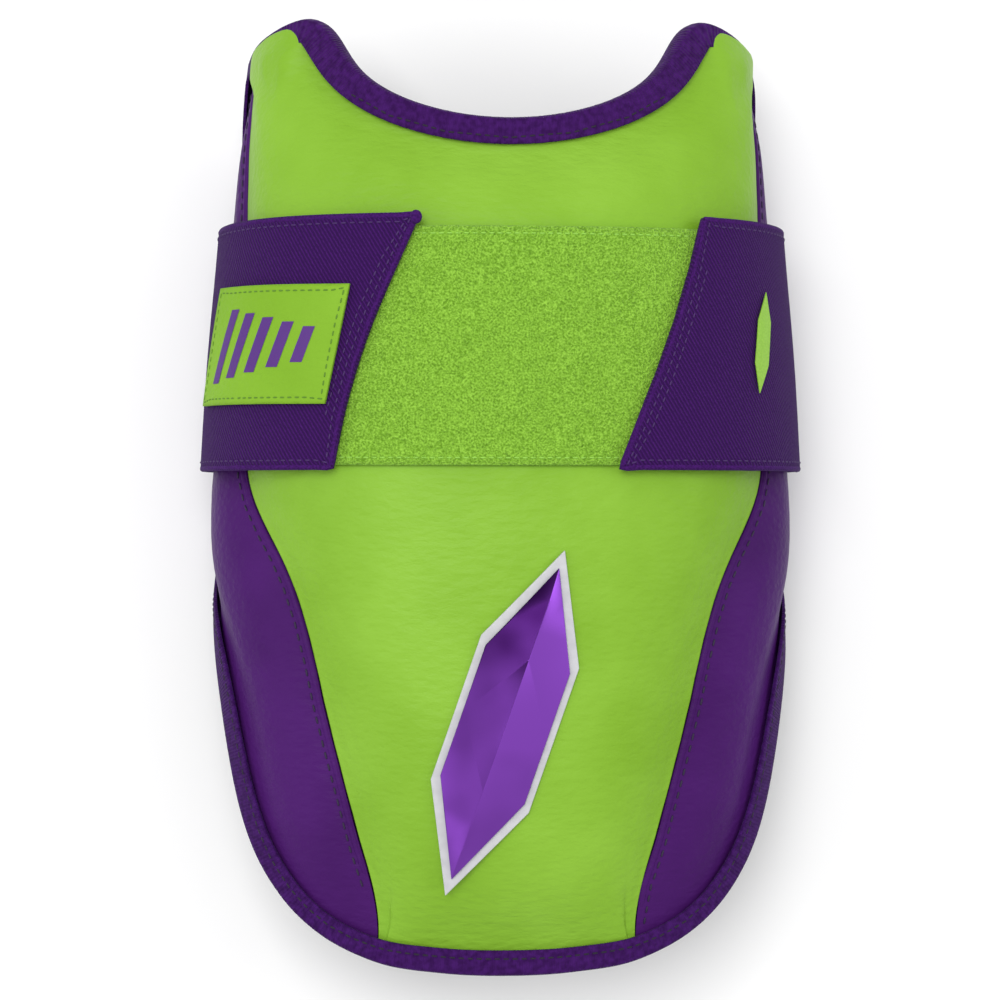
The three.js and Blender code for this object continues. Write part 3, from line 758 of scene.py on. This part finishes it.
mark = cut_from("strap_mark", "strap_mark_print", firmness=0)
ease_edges(mark, width=0.00012)
film, film_tree, film_shader = finish_of("lime print film", "8fc63a", roughness=0.5)
film_grain = noise_at(film_tree, 1800)
tint(film_tree, film_shader, film_grain.outputs["Fac"], "7fb02c", "8abb38")
add_bump(film_tree, film_shader, film_grain.outputs["Fac"], depth=0.0002, strength=0.3)
mark.data.materials.append(film)
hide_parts("strap_mark")
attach(mark, "root")


# Badge: a pale rubber plate welded to the front panel, with a moulded purple blade fixed on it. The
# blade is chromed, and its facets are flat with a small bevel between them. Their colour holds a
# painted reflection: each facet is painted lighter toward one end and darker toward the other.
plate = cut_from("emblem_border", "badge_plate", firmness=0)
ease_edges(plate, width=0.0003)
rubber, rubber_tree, rubber_shader = finish_of("pale grey rubber", "d2d2d4", roughness=0.5)
rubber_shade = noise_at(rubber_tree, 300)
tint(rubber_tree, rubber_shader, rubber_shade.outputs["Fac"], "b6b6b9", "c0c0c3")
plate.data.materials.append(rubber)
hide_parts("emblem_border")
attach(plate, "root")

blade = cut_from("emblem", "badge_blade", firmness=0)
blade_low, blade_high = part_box("emblem")
blade_length = blade_high.y - blade_low.y
# Painted reflection: left-facing facets are painted lightest at the end toward the tip, right-facing
# facets lightest at the end toward the neckline, standing in for the lights mirrored in the chrome
left_painted_reflection = 0.5
right_painted_reflection = 0.45
painted_reflection = blade.data.attributes.new("painted_reflection", "FLOAT", "CORNER")
for face in blade.data.polygons:
    for i in face.loop_indices:
        spot = blade.data.vertices[blade.data.loops[i].vertex_index].co
        along = (spot.y - blade_low.y) / blade_length
        if face.normal.x < 0:
            painted_reflection.data[i].value = left_painted_reflection - left_painted_reflection * along
        else:
            painted_reflection.data[i].value = right_painted_reflection + right_painted_reflection * along
ease_edges(blade, width=0.00025)
bpy.ops.object.mode_set(mode="EDIT")
bpy.ops.mesh.select_all(action="DESELECT")
bpy.ops.mesh.edges_select_sharp(sharpness=math.radians(15))
bpy.ops.mesh.mark_sharp()
bpy.ops.object.mode_set(mode="OBJECT")
bpy.ops.object.shade_smooth()
chrome, chrome_tree, chrome_shader = finish_of("purple chrome", "8a48c0", roughness=0.34)
chrome_shader.inputs["Metallic"].default_value = 1.0
chrome_painted_reflection = chrome_tree.nodes.new("ShaderNodeAttribute")
chrome_painted_reflection.attribute_name = "painted_reflection"
chrome_cloud = noise_at(chrome_tree, 70, detail=1.0)
chrome_sum = chrome_tree.nodes.new("ShaderNodeMath")
chrome_sum.operation = "MULTIPLY_ADD"
chrome_sum.inputs[1].default_value = 0.3
chrome_tree.links.new(chrome_cloud.outputs["Fac"], chrome_sum.inputs[0])
chrome_tree.links.new(chrome_painted_reflection.outputs["Fac"], chrome_sum.inputs[2])
# The painted reflection, with a faint cloud, sets the chrome's colour between dark and bright purple
tint(chrome_tree, chrome_shader, chrome_sum.outputs["Value"], "2e0f45", "9350cc", low_at=0.2, high_at=0.8)
blade.data.materials.append(chrome)
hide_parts("emblem")
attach(blade, "root")


# Floor and light: a plain table of white paper in a bright room, under three square soft lights. The
# camera looks almost straight down on the guard, as in the photo.
bpy.ops.mesh.primitive_plane_add(size=6)
floor = bpy.context.object
floor.name = "floor"
paper = finish_of("white paper", "f4f4f4", roughness=0.9)[0]
floor.data.materials.append(paper)

world = bpy.data.worlds.new("studio")
bpy.context.scene.world = world
world.use_nodes = True
room = world.node_tree.nodes["Background"]
room.inputs["Color"].default_value = (1, 1, 1, 1)
room.inputs["Strength"].default_value = 0.66

crown = Vector((0, 0, 0.04))


def soft_light(name, place, size, power):
    """A square light aimed at the guard's crown"""
    data = bpy.data.lights.new(name, "AREA")
    data.size = size
    data.energy = power
    light = bpy.data.objects.new(name, data)
    light.location = place
    light.rotation_mode = "QUATERNION"
    light.rotation_quaternion = (crown - Vector(place)).to_track_quat("-Z", "Y")
    bpy.context.collection.objects.link(light)


bpy.context.scene.view_settings.view_transform = "Standard"
soft_light("overhead", (-0.22, 0.3, 1.2), size=0.6, power=8.3)
soft_light("left", (-1.0, -0.1, 0.7), size=0.6, power=2.2)
soft_light("right", (1.0, 0.2, 0.7), size=0.6, power=2.6)

lens = bpy.data.cameras.new("photo camera")
lens.lens = 93.6
lens.sensor_width = 36
lens.clip_start = 0.05
camera = bpy.data.objects.new("photo camera", lens)
bpy.context.collection.objects.link(camera)
bpy.context.scene.camera = camera
aim = Vector((-0.001, -0.0013, 0.040))
distance = 0.685
lean = math.radians(3)
back = Vector((-math.sin(lean), 0, math.cos(lean)))
across = Vector((math.cos(lean), 0, math.sin(lean)))
facing = Matrix((across, (0, 1, 0), back)).transposed().to_4x4()
camera.matrix_world = Matrix.Translation(aim + back * distance) @ facing
